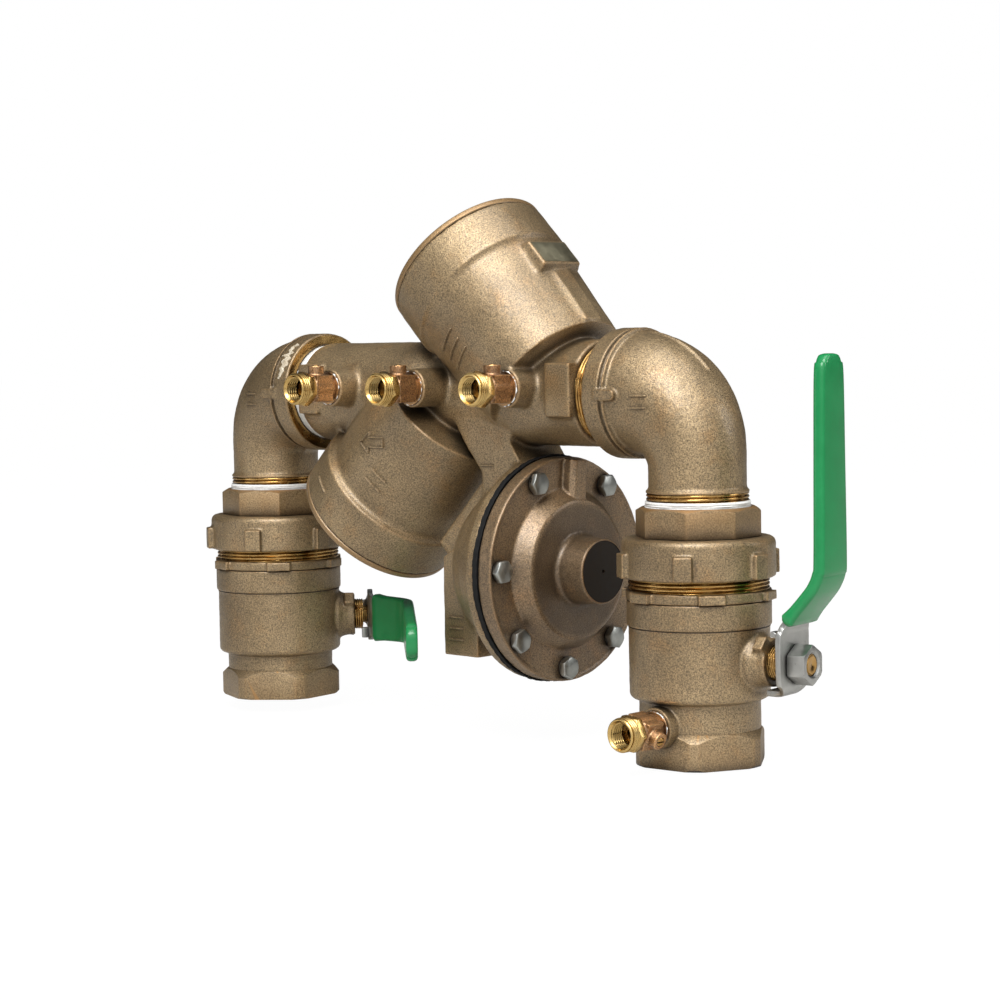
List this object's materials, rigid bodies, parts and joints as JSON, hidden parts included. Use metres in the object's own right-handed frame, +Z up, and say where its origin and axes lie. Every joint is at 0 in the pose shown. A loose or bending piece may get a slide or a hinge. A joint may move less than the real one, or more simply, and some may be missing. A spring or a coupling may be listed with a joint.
{
  "type": "backflow preventer",
  "caption": "Reduced-pressure backflow preventer with two angled check housings, a side relief valve, union ball valves and test cocks.",
  "frame": {"origin": "middle of the foot of the bounding box, level with the lower end of the inlet valve", "axes": "+X along the pipe run towards the inlet valve, -Y towards the side with the test cocks, +Z up"},
  "size_m": [0.5158, 0.1494, 0.3379],
  "materials": {
    "cast_bronze": "sand-cast bronze, matt, tan with brown shadows",
    "dark_bronze": "sand-cast bronze, dark brown",
    "machined_brass": "turned brass, satin",
    "cock_bronze": "reddish cast bronze",
    "steel": "zinc plated or stainless, brushed",
    "spring_steel": "drawn stainless wire",
    "green_vinyl": "dipped green vinyl, glossy",
    "black_rubber": "fabric-backed black rubber",
    "white_ptfe": "white PTFE",
    "grey_plastic": "moulded dark grey plastic"
  },
  "bodies": {
    "body": {"main_body": "cast_bronze", "first_check_cover": "cast_bronze", "first_check_seat": "grey_plastic", "second_check_cover": "cast_bronze", "second_check_seat": "grey_plastic", "first_check_spring": "spring_steel", "second_check_spring": "spring_steel", "relief_cover": "dark_bronze", "relief_diaphragm": "black_rubber", "relief_spring": "spring_steel", "relief_bolt_1": "steel", "relief_bolt_2": "steel", "relief_bolt_3": "steel", "relief_bolt_4": "steel", "relief_bolt_5": "steel", "relief_bolt_6": "steel", "relief_bolt_7": "steel", "inlet_elbow": "cast_bronze", "inlet_union_tailpiece": "cast_bronze", "inlet_valve_retainer": "cast_bronze", "inlet_valve_body": "cast_bronze", "inlet_ball_seat_upper": "white_ptfe", "inlet_ball_seat_lower": "white_ptfe", "inlet_gland": "machined_brass", "outlet_elbow": "cast_bronze", "outlet_union_tailpiece": "cast_bronze", "outlet_valve_retainer": "cast_bronze", "outlet_valve_body": "cast_bronze", "outlet_ball_seat_upper": "white_ptfe", "outlet_ball_seat_lower": "white_ptfe", "outlet_gland": "machined_brass", "test_cock_1_body": "cock_bronze", "test_cock_1_fitting": "machined_brass", "test_cock_2_body": "cock_bronze", "test_cock_2_fitting": "machined_brass", "test_cock_3_body": "cock_bronze", "test_cock_3_fitting": "machined_brass", "test_cock_4_body": "cock_bronze", "test_cock_4_fitting": "machined_brass"},
    "inlet_lever_set": {"inlet_lever": "steel", "inlet_grip": "green_vinyl", "inlet_lever_nut": "steel", "inlet_stem": "machined_brass", "inlet_ball": "machined_brass"},
    "inlet_union_ring": {"inlet_union_nut": "cast_bronze"},
    "outlet_lever_set": {"outlet_lever": "steel", "outlet_grip": "green_vinyl", "outlet_lever_nut": "steel", "outlet_stem": "machined_brass", "outlet_ball": "machined_brass"},
    "outlet_union_ring": {"outlet_union_nut": "cast_bronze"},
    "first_check_valve": {"first_check_poppet": "grey_plastic", "first_check_disc": "black_rubber"},
    "second_check_valve": {"second_check_poppet": "grey_plastic", "second_check_disc": "black_rubber"},
    "relief_valve": {"relief_stem": "machined_brass"},
    "test_cock_1_plug": {"test_cock_1_core": "machined_brass"},
    "test_cock_2_plug": {"test_cock_2_core": "machined_brass"},
    "test_cock_3_plug": {"test_cock_3_core": "machined_brass"},
    "test_cock_4_plug": {"test_cock_4_core": "machined_brass"}
  },
  "joints": [
    {"name": "inlet_lever_turn", "type": "hinge", "parent": "body", "child": "inlet_lever_set", "pos_m": [0.16549, 0.0053, 0.062], "axis": [0.9925, 0.1219, 0], "range_deg": [-90, 0]},
    {"name": "outlet_lever_turn", "type": "hinge", "parent": "body", "child": "outlet_lever_set", "pos_m": [-0.20891, 0.0053, 0.062], "axis": [0.682, 0.7314, 0], "range_deg": [0, 90]},
    {"name": "inlet_union_turn", "type": "hinge", "parent": "body", "child": "inlet_union_ring", "pos_m": [0.16549, 0.0053, 0.1216], "axis": [0, 0, 1], "continuous": true},
    {"name": "outlet_union_turn", "type": "hinge", "parent": "body", "child": "outlet_union_ring", "pos_m": [-0.20891, 0.0053, 0.1216], "axis": [0, 0, 1], "continuous": true},
    {"name": "first_check_travel", "type": "slide", "parent": "body", "child": "first_check_valve", "axis": [-0.7071, 0, 0.7071], "range_m": [0, 0.012], "deforming": ["first_check_spring"]},
    {"name": "second_check_travel", "type": "slide", "parent": "body", "child": "second_check_valve", "axis": [-0.7071, 0, -0.7071], "range_m": [0, 0.012], "deforming": ["second_check_spring"]},
    {"name": "relief_travel", "type": "slide", "parent": "body", "child": "relief_valve", "axis": [1, 0, 0], "range_m": [-0.006, 0], "deforming": ["relief_spring", "relief_diaphragm"]},
    {"name": "test_cock_1_turn", "type": "hinge", "parent": "body", "child": "test_cock_1_plug", "pos_m": [0.16549, -0.0472, 0.0245], "axis": [0.9397, 0, -0.342], "range_deg": [0, 90]},
    {"name": "test_cock_2_turn", "type": "hinge", "parent": "body", "child": "test_cock_2_plug", "pos_m": [0.05629, -0.0532, 0.221], "axis": [0, 0, 1], "range_deg": [0, 90]},
    {"name": "test_cock_3_turn", "type": "hinge", "parent": "body", "child": "test_cock_3_plug", "pos_m": [-0.02471, -0.0532, 0.221], "axis": [0, 0, 1], "range_deg": [0, 90]},
    {"name": "test_cock_4_turn", "type": "hinge", "parent": "body", "child": "test_cock_4_plug", "pos_m": [-0.10071, -0.0532, 0.221], "axis": [0, 0, 1], "range_deg": [0, 90]}
  ]
}
